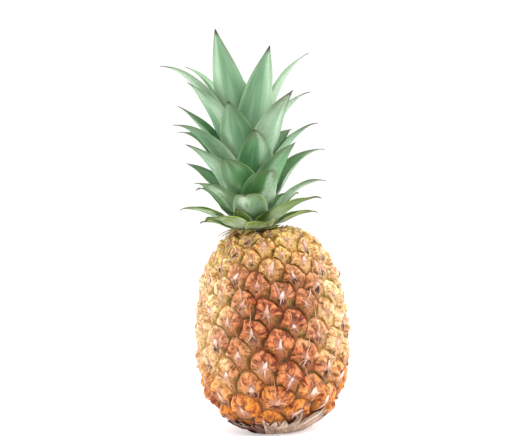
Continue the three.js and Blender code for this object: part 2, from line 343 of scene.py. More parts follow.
def findCorners(eyes):  # neighbours share a corner in the middle of each triangle of the hull
    mesh = bpy.data.meshes.new("eyeMap")
    mesh.from_pydata([eye["middle"] for eye in eyes], [], [])
    hull = bpy.data.objects.new("eyeMap", mesh)
    bpy.context.collection.objects.link(hull)
    activate(hull)
    startEdit()
    bpy.ops.mesh.convex_hull(join_triangles=False)
    endEdit()
    places = [v.co.copy() for v in mesh.vertices]
    byPlace = {tuple(round(x, 5) for x in eye["middle"]): eye for eye in eyes}
    for face in mesh.polygons:
        around = [places[i] for i in face.vertices]
        normal = (around[1] - around[0]).cross(around[2] - around[0]).normalized()
        centre = sum(around, Vector()).normalized()
        corner = (centre + normal * math.copysign(1, normal.dot(centre))).normalized()
        for place in around:
            byPlace[tuple(round(x, 5) for x in place)]["corners"].append(corner)
    bpy.data.objects.remove(hull)
    for eye in eyes:
        middle = eye["middle"]
        eye["east"] = Vector((-middle.y, middle.x, 0)).normalized()
        eye["north"] = middle.cross(eye["east"])
        eye["corners"].sort(key=lambda c: math.atan2(c.dot(eye["north"]), c.dot(eye["east"])))
        eye["radius"] = sum((c - middle).length for c in eye["corners"]) / len(eye["corners"])


eyes = layEyes()
findCorners(eyes)
print("eyes laid out:", len(eyes))


skin = {
    "stepsPerSide": 8,
    "rings": [0.02, 0.03, 0.045, 0.06, 0.075, 0.085, 0.095, 0.105, 0.11, 0.11, 0.1, 0.08],
    "dome": 0.24,  # how far the upper border of an eye arches up, as a share of its width
    "relief": 3.2,  # height of an eye over the grooves
    "roundness": 0.85,  # how much of the corners an eye has lost at its middle
    "offCentre": 0.12,  # how far an eye's folds stray from its middle, at most
    "turn": 14,  # and how far they are turned, in degrees
    "fan": (-14, 194),  # bearings, in degrees from the east, between which the upper lobes lie
    "fanFade": (4, 9),  # degrees outside and inside them in which the lobes give way to the skirt
    # each lobe: its bearing, its distance from the eye's middle, its size and its height
    "lobes": [
        (8, 0.6, 0.22, 1.5),
        (48, 0.62, 0.21, 1.9),
        (90, 0.6, 0.19, 1.5),
        (132, 0.62, 0.21, 1.9),
        (172, 0.6, 0.22, 1.5),
    ],
    "lobeWander": (9, 0.07, 0.45),  # in bearing, distance and share of height
    "scallop": 0.1,  # how far the creases between the lobes cut into the eye's edge
    "creaseDepth": 0.8,
    "skirt": 0.66,  # height of the lower half, as a share of the relief
    "beak": 1.1,  # height of the point in the middle
    "pit": 2.0,  # depth of the hollow that some eyes have below it
    "pitPlace": (0, -0.36),
    "unevenness": 0.18,  # of the eyes' heights
    "lumps": (8, 1.3),  # size and height of the uneven swelling
    "wrinkles": (2.4, 0.6),
    "weld": 0.002,  # vertices nearer than this are made one
}


def makeEyeBlank(sides):  # a flat disc of rings, with the same number of steps on each side
    bpy.ops.mesh.primitive_circle_add(vertices=sides * skin["stepsPerSide"], radius=1, fill_type="NGON")
    blank = bpy.context.object
    startEdit()
    bpy.ops.mesh.select_mode(type="FACE")
    for width in skin["rings"]:
        bpy.ops.mesh.inset(thickness=width)
    bpy.ops.mesh.poke()
    endEdit()
    return blank


def bulge(x, y, width):
    return np.exp(-(x ** 2 + y ** 2) / width ** 2)


def eyeForm(x, y, edge, n):  # height over the grooves of an eye of full size, then the marks of its folds
    x = x - skin["offCentre"] * wobble(n, 1) * (1 - edge)
    y = y - skin["offCentre"] * wobble(n, 2) * (1 - edge)
    rho = np.hypot(x, y)
    turn = skin["turn"] * wobble(n, 3)
    bearing = np.degrees(np.arctan2(y, x)) + turn
    bearing = np.where(bearing < -90, bearing + 360, bearing)
    start, end = skin["fan"]
    outside, inside = skin["fanFade"]
    inFan = ramp(bearing, start - outside, start + inside) * (1 - ramp(bearing, end - inside, end + outside))
    inFan = lerp(0.5, inFan, ramp(rho, 0, 0.15))
    cushions, crest = np.zeros(len(x)), np.zeros(len(x))
    wanderWay, wanderOut, wanderUp = skin["lobeWander"]
    for j, (degrees, distance, width, height) in enumerate(skin["lobes"]):
        way = math.radians(degrees - turn + wanderWay * wobble(n, 30 + j))
        distance = distance + wanderOut * wobble(n, 35 + j)
        cushion = bulge(x - distance * math.cos(way), y - distance * math.sin(way), width)
        cushions += height * (1 + wanderUp * wobble(n, 40 + j)) * cushion
        crest = np.maximum(crest, cushion)
    valley = 1 - ramp(crest, 0.15, 0.62)
    outer = edge + skin["scallop"] * valley * ramp(edge, 0.35, 0.8) * inFan
    fade = 1 - ramp(outer, 0.88, 1)
    fan = skin["relief"] * lerp(0.6, 1.0, ramp(rho, 0, 0.6)) * (1 - np.clip(outer, 0, 1) ** 8) ** 0.8
    fan += cushions * fade - skin["creaseDepth"] * valley * ramp(rho, 0.25, 0.5) * fade
    folds = 0.16 * np.sin(9 * x + 3 * wobble(n, 6)) + 0.1 * np.sin(21 * x + 5 * wobble(n, 7))
    skirt = skin["relief"] * (skin["skirt"] + folds * fade) * (1 - np.clip(edge, 0, 1) ** 2.6)
    height = lerp(skirt, fan, inFan)
    height += skin["beak"] * bulge(x / 0.16, (y + 0.1) / 0.26, 1)
    pitX, pitY = skin["pitPlace"]
    pitX, pitY = pitX + 0.1 * wobble(n, 8), pitY - 0.08 * wobble(n, 9)
    pit = bulge(x - pitX, (y - pitY) * 1.4, 0.15) * ramp(wobble(n, 10), -0.3, 0.9)
    creases = valley * ramp(rho, 0.3, 0.5) * inFan * (1 - ramp(edge, 0.9, 1))
    height -= skin["pit"] * pit
    return height, np.clip(creases + pit, 0, 1), 1 - inFan, crest * inFan


def eyeSize(eye):
    size = math.sqrt(float(along(fruit["eyeArea"], eye["z"] / fruit["height"])) / 500)
    return float(reliefShare(np.array(eye["z"]))) * size * (1 + skin["unevenness"] * wobble(eye["index"], 7))


def edgeMeasure(rho, distance):  # 1 in the grooves, and earlier in the corners of an eye
    return np.maximum(rho, np.minimum(0.98, 0.95 * distance))


def borderPoint(a, b, step):  # on the side from corner a to corner b, which arches up like a scale's top
    t = step / skin["stepsPerSide"]
    place = a.lerp(b, t).normalized()
    east = Vector((-place.y, place.x, 0)).normalized()
    arch = skin["dome"] * 4 * t * (1 - t) * abs((b - a).dot(east))
    return (place + place.cross(east) * arch).normalized()


def bendEye(eye, blanks):
    n = eye["index"]
    sides = len(eye["corners"])
    if sides not in blanks:
        blanks[sides] = makeEyeBlank(sides)
    tile = copyOf(blanks[sides], f"eye{n}")
    points = getPoints(tile.data)
    rho = np.hypot(points[:, 0], points[:, 1])
    steps = sides * skin["stepsPerSide"]
    sector = np.round(np.arctan2(points[:, 0], points[:, 1]) / (2 * math.pi) * steps).astype(int) % steps
    middle, east, north = (np.array(eye[key]) for key in ("middle", "east", "north"))
    border = []
    for j in range(steps):
        side, step = divmod(j, skin["stepsPerSide"])
        border.append(borderPoint(eye["corners"][side], eye["corners"][(side + 1) % sides], step))
    border = np.array(border)[(-sector) % steps]
    bearing = np.arctan2(border @ north, border @ east)
    around = middle + eye["radius"] * (np.outer(np.cos(bearing), east) + np.outer(np.sin(bearing), north))
    roundness = (skin["roundness"] * ramp(1 - rho, 0, 0.6))[:, None]
    target = border * (1 - roundness) + around * roundness
    directions = middle + (target - middle) * rho[:, None]
    distance = np.linalg.norm(directions - middle, axis=1) / eye["radius"]
    x, y = rho * np.cos(bearing), rho * np.sin(bearing)
    edge = edgeMeasure(rho, distance)
    height, creases, lower, crest = eyeForm(x, y, edge, n)
    height = height * eyeSize(eye)
    height[rho > 0.999] = 0
    setPoints(tile.data, onSkin(directions, height))
    paintCorners(tile.data, "eyePlace", np.stack([x, y, edge], axis=1))
    paintCorners(tile.data, "eyeFolds", np.stack([creases, lower, crest], axis=1))
    look = [share(n, 11), share(n, 12), eye["z"] / fruit["height"]]
    paintCorners(tile.data, "eyeLook", np.tile(look, (len(points), 1)))
    return tile


def displace(piece, name, size, height):
    cloud = bpy.data.textures.new(name, "CLOUDS")
    cloud.noise_scale = size * mm
    cloud.noise_depth = 2
    modifier = piece.modifiers.new(name, "DISPLACE")
    modifier.texture = cloud
    modifier.strength = height * mm
    modifier.mid_level = 0.5
    modifier.texture_coords = "LOCAL"
    activate(piece)
    bpy.ops.object.modifier_apply(modifier=name)


def makeSkin():
    deselectAll()
    blanks = {}
    tiles = [bendEye(eye, blanks) for eye in eyes]
    for blank in blanks.values():
        bpy.data.objects.remove(blank)
    whole = joinAll(tiles, "fruitSkin")
    startEdit()
    bpy.ops.mesh.remove_doubles(threshold=skin["weld"] * mm)
    bpy.ops.mesh.normals_make_consistent(inside=False)
    endEdit()
    displace(whole, "lumps", *skin["lumps"])
    displace(whole, "wrinkles", *skin["wrinkles"])
    return whole


rind = {
    # each colour on the flanks, on the front, at the foot and at the top
    "light": ("fcf0c0", "e4965e", "f09a28", "fce8a0"),
    "dark": ("b07a3c", "5c1c06", "722804", "b8843a"),
    "ruddyLobe": ("de905a", "8e300c", "a84400", "e88a40"),
    "goldenLobe": ("ecc47c", "b8581c", "cc7406", "f8c860"),
    "dullSkirt": ("dcb060", "ac6420", "b4640c", "e8b65a"),
    "clearSkirt": ("e8c084", "be743c", "c47212", "f4c478"),
    "pink": ("e0b494", "a4604c", "b86438", "e0b080"),
    "olive": ("b0a050", "645a1c", "74501c", "a89448"),
    # the front's darker colours are partly painted shade, the flanks' pale ones partly painted light
    "front": (0.034, 0.064),  # where the front's colours come in, in metres from the axis
    "foot": (0.47, 0.16),  # where the foot's and the top's do, as shares of the height
    "top": (0.72, 0.95),
    # the lowest eyes darken with painted shade near the table
    "base": (0.025, 0.004),  # and where the lowest eyes darken, in metres over the table
}


def skinFinish():
    f = Finish("ripeRind")
    x, y, edge = f.parts(f.attribute("eyePlace"))
    creases, lower, crest = f.parts(f.attribute("eyeFolds"))
    shade, spot, row = f.parts(f.attribute("eyeLook"))
    place = f.place()
    px, py, pz = f.parts(place)
    cloudy = f.noise(place, 40, 3)
    patchy = f.noise(place, 150, 4, 0.65)
    mottled = f.noise(place, 330, 3, 0.6)
    dots = f.noise(place, 440, 2, 0.5)
    fine = f.noise(place, 900, 3, 0.65)
    # the front is redder and darker than the flanks, partly its own ripening and partly painted shade on the
    # front with painted light on the pale flanks; the foot is ripest and the top youngest
    narrowed = f.fade(pz, 0.09, 0.16) * 0.009
    front = f.fade(px * 0.06 - py + narrowed + (cloudy - 0.5) * 0.04, *rind["front"])
    height = row * 0.5 + pz * (0.5 / fruit["height"] / mm)
    foot = f.fade(height + front * 0.09 + (cloudy - 0.5) * 0.3, *rind["foot"])
    top = f.fade(row + (cloudy - 0.5) * 0.14, *rind["top"]) * 0.9

    def byZone(key):
        onFlank, onFront, atFoot, atTop = rind[key]
        return f.blend(top, f.blend(foot, f.blend(front, onFlank, onFront), atFoot), atTop)

    light, dark = byZone("light"), byZone("dark")
    # the lobes fan out from the middle, between fine dark creases, with painted highlight on their tops and
    # ridges and painted shade in the creases
    rho = (x * x + y * y) ** 0.5
    bearing = x.sum("ARCTAN2", x, y + 0.1)
    petals = f.noise(f.vector(bearing * 1.7, rho * 0.8, shade * 40), 2.1, 3, 0.5)
    fanned = (1 - lower) * f.fade(rho, 0.12, 0.4) * f.fade(edge, 1.0, 0.9)
    lobe = f.blend(shade, byZone("ruddyLobe"), byZone("goldenLobe"))
    lobe = f.blend(f.fade(patchy, 0.5, 0.62) * 0.7, lobe, dark)
    # painted highlight on the top of each lobe
    lobe = f.blend(f.fade(crest + (patchy - 0.5) * -2, 0.3, 0.9) * 0.5, lobe, light)
    rim = f.fade(edge, 0.7, 0.82) * f.fade(edge, 0.96, 0.88) * (1 - lower)
    lobe = f.blend(rim * f.fade(mottled, 0.58, 0.42) * 0.5, lobe, light)
    # painted highlight along the ridges of the folds; the creases between them are dark red-brown, deepened
    # as painted shade
    lobe = f.blend(f.fade(petals, 0.5, 0.66) * fanned * 0.75, lobe, light)
    lobe = f.blend(f.fade(petals, 0.455, 0.395) * fanned * 0.9, lobe, dark)
    # the lower half is the bract's own skin, duller, with fibres running up
    fibres = f.noise(f.vector(x * 7, y * 1.6, shade * 30), 1.7, 3, 0.6)
    skirt = f.blend(spot, byZone("dullSkirt"), byZone("clearSkirt"))
    skirt = f.blend(f.fade(fibres, 0.52, 0.62) * 0.6, skirt, dark)
    skirt = f.blend(f.fade(fibres, 0.46, 0.36) * 0.8, skirt, light)
    skirt = f.blend(f.fade(patchy, 0.56, 0.66) * 0.6, skirt, f.blend(shade, "7c7020", "8a5020"))
    # pinkish under the middle, and olive in the corners
    aside = abs(x) + (mottled - 0.5) * 0.5
    skirt = f.blend(f.fade(aside, 0.42, 0.12) * 0.5, skirt, byZone("pink"))
    pockets = f.fade(aside, 0.25, 0.6) * f.fade(edge + (patchy - 0.5) * 0.6, 0.5, 0.85)
    skirt = f.blend(pockets * 0.7, skirt, byZone("olive"))
    color = f.blend(lower, lobe, skirt)
    # painted shade in the valleys between the lobes and in the hollow below the middle
    color = f.blend(f.fade(creases, 0.2, 0.8) * f.fade(edge, 0.85, 0.65) * 0.7, color, dark)
    rosy = f.fade(f.noise(place, 130, 3, 0.6) + (spot - 0.5) * 0.12, 0.54, 0.64)
    color = f.blend(rosy * (1 - 0.7 * foot) * 0.5, color, f.blend(front, "e4ab94", "c87048"))
    color = f.blend(f.fade(dots, 0.61, 0.66) * 0.8, color, f.blend(front, "644a1c", "501c0c"))
    color = f.blend(f.fade(dots, 0.36, 0.3) * 0.6, color, light)
    # grey-pink fibres in the middle, and in some eyes a dark hollow below it, its darkness painted shade
    middle = f.fade(rho + (petals - 0.5) * 0.9, 0.36, 0.14)
    color = f.blend(middle * (0.35 + 0.45 * spot), color, f.blend(petals, "8c5544", "f0d4c4"))
    hollow = f.fade(x * x + (y + 0.36) * (y + 0.36) * 1.5 + (mottled - 0.5) * 0.4, 0.18, 0.02)
    color = f.blend(hollow * f.fade(spot, 0.4, 0.6) * f.fade(fibres, 0.62, 0.5), color, "401002")
    # painted shade, tinted warm and olive: darker towards the grooves, most in the lower half
    near = f.fade(edge + (patchy - 0.5) * 0.4, 0.5, 0.95) * lower + f.fade(edge, 0.9, 1.0) * 0.6
    warmPaintedShade, olivePaintedShade = f.blend(front, "d8b468", "c49450"), f.blend(front, "b4b458", "a0983c")
    color = f.blend(near * 0.85, color, f.blend(f.fade(patchy, 0.46, 0.58), warmPaintedShade, olivePaintedShade), "MULTIPLY")
    # the grooves' own dark brown and olive, with painted shade making them darkest above each eye
    groove = f.fade(edge + (patchy - 0.5) * 0.08, 0.95, 0.985)
    brown, olive = f.blend(front, "80702a", "301404"), f.blend(front, "565618", "343406")
    grooveColor = f.blend(f.fade(patchy, 0.48, 0.58), brown, olive)
    broken = f.fade(mottled, 0.34, 0.5) * f.fade(cloudy, 0.2, 0.6)
    color = f.blend(groove * (0.2 + 0.8 * f.fade(y, -0.2, 0.4)) * broken, color, grooveColor)
    # painted shade on the lowest eyes, near the table
    color = f.blend(f.fade(pz, *rind["base"]) * 0.85, color, "501e0e")
    threads = f.noise(f.vector(x * 5, y * 5, shade * 20), 2.2, 4, 0.65)
    pleated = f.bump(petals * fanned + fibres * lower, 0.003, 0.8)
    folded = f.bump(threads, 0.0016, 0.6, under=pleated)
    grained = f.bump(fine, 0.0005, 0.5, under=folded)
    f.set(color=color, roughness=0.32 + 0.3 * fine, normal=grained, specular=0.34)
    return f.set(subsurface=0.05, subsurfaceScale=0.003)


fruitSkin = makeSkin()
finishPiece(fruitSkin, skinFinish(), ["fruit"])
print("skin:", len(fruitSkin.data.polygons), "faces")


tips = {
    # each kind: steps across and along, start and reach in eye radii, width, lift and thickness
    "beak": (4, 8, -0.16, 0.58, 0.14, 1.5, 0.35),
    "thread": (2, 7, 0.04, 0.45, 0.026, 0.8, 0.14),
    "hair": (2, 9, 0.1, 1.3, 0.02, 2.2, 0.2),
    "bearings": (-62, -30, 205, 238, 120),  # of the threads, in degrees from the east
    "smallest": 0.15,  # eyes under this size have none
    "above": 0.15,  # clearance over the skin
    "sink": 0.5,  # of the foot into the skin
}


def makeBladeBlank(across, stations):  # x from edge to edge, y from foot to tip, z the two faces
    bpy.ops.mesh.primitive_grid_add(x_subdivisions=across, y_subdivisions=stations, size=2)
    blank = bpy.context.object
    startEdit()
    bpy.ops.transform.translate(value=(0, 0, -1))
    bpy.ops.mesh.extrude_region_move(TRANSFORM_OT_translate={"value": (0, 0, 2)})
    bpy.ops.mesh.select_all(action="SELECT")
    bpy.ops.mesh.normals_make_consistent(inside=False)
    endEdit()
    return blank


def bladeParts(mesh):  # u from -1 to 1, s from 0 to 1, and the face, -1 or 1
    points = getPoints(mesh)
    return points[:, 0], (points[:, 1] + 1) / 2, np.round(points[:, 2])


def paintBlade(blade, name, u, s, shade):
    paintCorners(blade.data, name, np.stack([u, s, np.full(len(u), shade)], axis=1))


def layTip(blank, eye, kind, degrees, index):  # one pointed shred that lies on an eye
    start, reach, width, rise, thickness = tips[kind][2:]
    size, bearing = eyeSize(eye), math.radians(degrees)
    tip = copyOf(blank, f"tip{index}")
    u, s, face = bladeParts(tip.data)
    forward = start + s * reach * (1 + 0.45 * wobble(index, 21))
    width = width * (1 + 0.4 * wobble(index, 22)) * (1 - s ** 1.5) + 0.008
    across = u * width + 0.22 * wobble(index, 23) * s ** 1.6
    x = forward * math.cos(bearing) - across * math.sin(bearing)
    y = forward * math.sin(bearing) + across * math.cos(bearing)
    surface = eyeForm(x, y, np.hypot(x, y), eye["index"])[0] * size
    lift = rise * (s ** 0.8 * (1 - 0.5 * s) + 0.4 * wobble(index, 24) * s) * size
    cup = -0.5 * u ** 2 * size * (1 - s)
    height = surface + tips["above"] + lift + cup + face * thickness / 2
    height = height - tips["sink"] * (s < 0.01)
    middle, east, north = (np.array(eye[key]) for key in ("middle", "east", "north"))
    directions = middle + eye["radius"] * (np.outer(x, east) + np.outer(y, north))
    setPoints(tip.data, onSkin(directions, height))
    paintBlade(tip, "tipPlace", u, s, share(index, 25))
    return tip


def makeTips():
    deselectAll()
    blanks = {kind: makeBladeBlank(*tips[kind][:2]) for kind in ("beak", "thread", "hair")}
    pieces = []

    def add(eye, kind, degrees, index):
        pieces.append(layTip(blanks[kind], eye, kind, degrees, index))

    for eye in eyes:
        n = eye["index"]
        if eyeSize(eye) < tips["smallest"]:
            continue
        add(eye, "beak", 90 + 16 * wobble(n, 26), n)
        for j, degrees in enumerate(tips["bearings"]):
            if wobble(n, 60 + j) <= 0.3:  # two in three
                add(eye, "thread", degrees + 35 * wobble(n, 40 + j), 1000 + 10 * n + j)
        if wobble(n, 66) > -0.1:
            add(eye, "hair", 90 + 30 * wobble(n, 67), 3000 + n)
    for blank in blanks.values():
        bpy.data.objects.remove(blank)
    return joinAll(pieces, "bractTips")


def tipFinish():
    f = Finish("paleBractTip")
    u, s, shade = f.parts(f.attribute("tipPlace"))
    fibre = f.noise(f.vector(u * 6, s * 1.5, shade * 40), 2.0, 3)
    color = f.blend(shade, "d09c78", "f2dac8")
    color = f.blend(f.fade(fibre, 0.4, 0.7) * 0.6, color, "9c5f44")
    color = f.blend(f.fade(s, 0.4, 0.0) * 0.7, color, "a9623f")
    color = f.blend(f.fade(s, 0.75, 1.0) * f.fade(shade, 0.45, 0.6), color, "4c2a1e")
    return f.set(color=color, roughness=0.7, normal=f.bump(fibre, 0.0006, 0.5), specular=0.3)


bractTips = makeTips()
finishPiece(bractTips, tipFinish())
print("bract tips:", len(bractTips.data.polygons), "faces")


crown = {
    "offset": -11,  # of its foot from the fruit's axis, along x
    "sink": 0.8,  # into the fruit's top
    "lean": math.radians(-1.8),
    "leaves": 46,
    "across": 11,
    "stations": 41,
    "phase": math.radians(285.5),  # azimuth of the lowest leaf
    "first": 1.6,  # height of the lowest leaf's foot on the stem
    "last": 73,
    "spread": 1.42,  # above 1 it crowds the lower feet
    "footGap": 0.825,  # between the stem and a foot's middle surface
    # five values each, from the lowest leaf to the heart of the crown
    "length": [45, 66, 86, 104, 52],
    "width": [24, 32, 37, 38, 34],
    "footAngle": [20, 47, 63, 72, 80],  # slopes, in degrees
    "tipAngle": [-34, -20, 2, 36, 79],
    "channel": [40, 28, 25, 25, 25],  # radius of the trough
    "bend": 3.2,  # the larger, the nearer to its tip a leaf bends
    "widestAt": 0.36,  # of its length
    "footWidth": 0.78,  # as a share of the greatest
    "ripple": 0.25,
    "keel": 2.0,
    "footThickness": 0.75,
    "thickness": 1.5,
    "tipThickness": 0.5,
    "opening": 0.35,  # share of the length at which the trough is open and the leaf thickest
    "clasp": math.radians(52),
    "wander": (math.radians(5), math.radians(8), 0.08, 7),  # azimuth, sweep, length, angle at the tip
    "seed": 40,
    # leaves that depart further: share of length, then degrees at the tip, of azimuth and of sweep
    "odd": {
        5: (1.16, 12, 0, 0),
        8: (0.95, 4, 0, 0),
        11: (0.88, 12, 14, 0),
        13: (0.92, -4, -10, 0),
        14: (0.92, 24, -8, 0),
        15: (1.12, 0, 0, 0),
        16: (0.94, 6, 12, 0),
        18: (0.86, 28, -20, 0),
        19: (0.86, 28, 22, 0),
        21: (0.88, 14, 8, -3),
        23: (0.94, -8, 0, 0),
        24: (1.02, -12, -14, 0),
        26: (1.02, 8, 0, 0),
        27: (0.93, 8, 0, 0),
        28: (0.88, 0, 0, 0),
        29: (0.82, 18, -4, 0),
        31: (0.84, -18, 0, 0),
        32: (0.86, 10, 14, -4),
        34: (1.15, 8, 10, 0),
        35: (1.18, -42, 38, 0),
        36: (1.12, -24, -8, 0),
        37: (1.22, 16, 6, 0),
        40: (1.24, -48, -20, 0),
    },
    # leaves painted paler, partly for their bloom and partly as painted light where light shines on and
    # through them, and how far
    "pale": {
        8: 0.3, 10: 0.3, 14: 0.8, 15: 0.8, 19: 0.3, 20: 0.5,
        23: 0.4, 26: 0.4, 31: 0.8, 35: 0.3, 36: 0.9, 40: 0.5,
    },
    # leaves with one half painted lighter, as lit, and the other painted darker, as in shade: its share,
    # negative when the lit half is the one at the lower azimuth
    "halves": {
        3: 0.2, 5: -0.2, 6: 0.2, 8: -0.3, 10: -0.25, 11: 0.35, 12: 0.4, 13: 0.6, 15: -0.2, 16: -0.3,
        18: -0.35, 19: 0.3, 21: 0.6, 24: 0.2, 26: -0.2, 29: -0.25, 32: 0.3, 34: 0.45, 35: 0.2, 37: -0.4,
    },
}
stem = {"shoulder": 1, "top": 74, "tip": 86, "radius": 13.7, "topRadius": 4.8, "tipRadius": 0.8}
crownFrame = Matrix.Translation((crown["offset"], 0, fruit["height"] - crown["sink"]))
crownFrame = crownFrame @ Matrix.Rotation(crown["lean"], 4, "Y")


def toCrown(points):
    turned = points @ np.array(crownFrame.to_3x3()).T + np.array(crownFrame.translation)
    return turned * mm


def stemRadius(z):
    lower, upper = climb(z, stem["shoulder"], stem["top"]), climb(z, stem["top"], stem["tip"])
    return lerp(lerp(stem["radius"], stem["topRadius"], lower), stem["tipRadius"], upper)


def leafOutline(s):  # the width as a share of the greatest
    widest = crown["widestAt"]
    foot = lerp(crown["footWidth"], 1, np.sin(math.pi / 2 * climb(s, 0, widest)))
    taper = climb(s, widest, 1)
    return foot * (1 - taper ** 1.6) * (1 - 0.25 * taper ** 6) + 0.02


def leafRule(k):  # gives the function that places any point of leaf k's middle surface
    t = k / (crown["leaves"] - 1)
    vary = [0] + [wobble(k, crown["seed"] + kind) for kind in (1, 2, 3, 4)]
    wanderAzimuth, wanderSweep, wanderLength, wanderTip = crown["wander"]
    growth, lift, aside, swept = crown["odd"].get(k, (1, 0, 0, 0))
    azimuth = crown["phase"] - k * goldenAngle + wanderAzimuth * vary[1] + math.radians(aside)
    sweep = wanderSweep * vary[2] + math.radians(swept)
    length = float(along(crown["length"], t)) * (1 + wanderLength * vary[3]) * growth
    footAngle = math.radians(along(crown["footAngle"], t))
    freedom = min(1, 0.2 + 3 * t)
    tipAngle = math.radians(along(crown["tipAngle"], t) + wanderTip * freedom * vary[4] + lift)
    foot = lerp(crown["first"], crown["last"], t ** crown["spread"])

    def angleAt(s):
        return lerp(footAngle, tipAngle, np.clip(s, 0, 1) ** crown["bend"])

    steps = 60
    angles = angleAt((np.arange(steps) + 0.5) / steps)
    out, up = (np.concatenate([[0], np.cumsum(part)]) for part in (np.cos(angles), np.sin(angles)))
    lineR = stemRadius(foot) + crown["footGap"] + out * length / steps
    lineZ = foot + up * length / steps
    stations = np.linspace(0, 1, steps + 1)
    halfWidth = float(along(crown["width"], t)) / 2
    channel = float(along(crown["channel"], t))

    def pointAt(s, u):
        over = np.clip(s, 1, 2) - 1  # past the tip the line runs straight on
        r = np.interp(s, stations, lineR) + over * length * math.cos(tipAngle)
        z = np.interp(s, stations, lineZ) + over * length * math.sin(tipAngle)
        angle = angleAt(s)
        side = u * np.minimum(halfWidth * leafOutline(s), r * crown["clasp"])
        turn = azimuth + side / r + sweep * s * s
        curve = climb(s, 0, crown["opening"]) / channel
        trough = np.maximum(0, curve - np.sin(angle) / r) * side * side / 2
        ripple = crown["ripple"] * np.sin(s * 19 + k * 1.7 + u) * u ** 2 * ramp(s, 0.3, 0.6)
        keel = -crown["keel"] * np.exp(-np.abs(u / 0.5)) * ramp(s, 0.05, 0.3) * (1 - ramp(s, 0.75, 1))
        relief = trough + ripple + keel
        reach = r - np.sin(angle) * relief
        height = z + np.cos(angle) * relief
        return np.stack([reach * np.cos(turn), reach * np.sin(turn), height], axis=1)

    return pointAt


def bendBlade(mesh, pointAt, thicknessAt):
    u, s, face = bladeParts(mesh)
    step = 1e-3
    alongS = pointAt(s + step, u) - pointAt(s - step, u)
    alongU = pointAt(s, u + step) - pointAt(s, u - step)
    normal = np.cross(alongU, alongS)
    normal /= np.linalg.norm(normal, axis=1, keepdims=True)
    points = pointAt(s, u) + normal * (face * thicknessAt(s, u) / 2)[:, None]
    return points, u, s, face


def thinned(thickness, loss):  # gives a thickness that falls towards the tip
    return lambda s, u: thickness * (1 - loss * s)


def makeBlades(sizes, names, rules, thicknessAt, settle, paint):  # one bent blade for each rule
    deselectAll()
    blank = makeBladeBlank(sizes["across"], sizes["stations"])
    blades = [copyOf(blank, name) for name in names]
    for i, (blade, rule) in enumerate(zip(blades, rules)):
        points, u, s, face = bendBlade(blade.data, rule, thicknessAt)
        setPoints(blade.data, settle(points))
        paint(blade, i, u, s, face)
    bpy.data.objects.remove(blank)
    return blades


def leafThickness(s, u):
    thickening = lerp(crown["footThickness"], crown["thickness"], climb(s, 0, crown["opening"]))
    thinning = lerp(crown["tipThickness"], crown["thickness"], climb(s, 1, crown["opening"]))
    return np.minimum(thickening, thinning) * (1 - 0.72 * np.abs(u) ** 2.5)


def paintLeaf(leaf, u, s, face, rank, index, whole=0.0, half=0.0):
    paintCorners(leaf.data, "leafPlace", np.stack([u, s, face], axis=1))
    paintCorners(leaf.data, "leafLook", np.tile([share(index, 51), rank, 0], (len(u), 1)))
    paintCorners(leaf.data, "leafPale", np.tile([whole, half, 0], (len(u), 1)))


def makeLeaves(material):
    count = crown["leaves"]
    names = [f"crownLeaf{k + 1:02d}" for k in range(count)]
    rules = [leafRule(k) for k in range(count)]

    def paint(leaf, k, u, s, face):
        paintLeaf(leaf, u, s, face, k / (count - 1), k, crown["pale"].get(k, 0), crown["halves"].get(k, 0))

    for k, leaf in enumerate(makeBlades(crown, names, rules, leafThickness, toCrown, paint)):
        finishPiece(leaf, material, [f"crown_leaf_{k + 1:02d}"])


leafTones = {
    # from the lowest leaf to the heart of the crown
    "greens": [
        (0.0, "748a26"), (0.12, "668a30"), (0.26, "467c3c"), (0.36, "78b076"),
        (0.48, "74b07e"), (0.62, "82b286"), (0.75, "92bc94"), (1.0, "9cc29c"),
    ],
    # on the lowest leaf and at the heart
    "bands": ("3a703c", "689a6c"),
    # painted shade on a leaf's darker half
    "paintedShadeHalf": ("2c6420", "64946a"),
    "innerSide": ("33601f", "5a8c5c"),
    "rims": ("3c6a22", "5c8a58"),
    "bloomAndPaintedLight": "c0d8bc",
    "foot": "c8dac8",
    "tip": "453a2e",
}


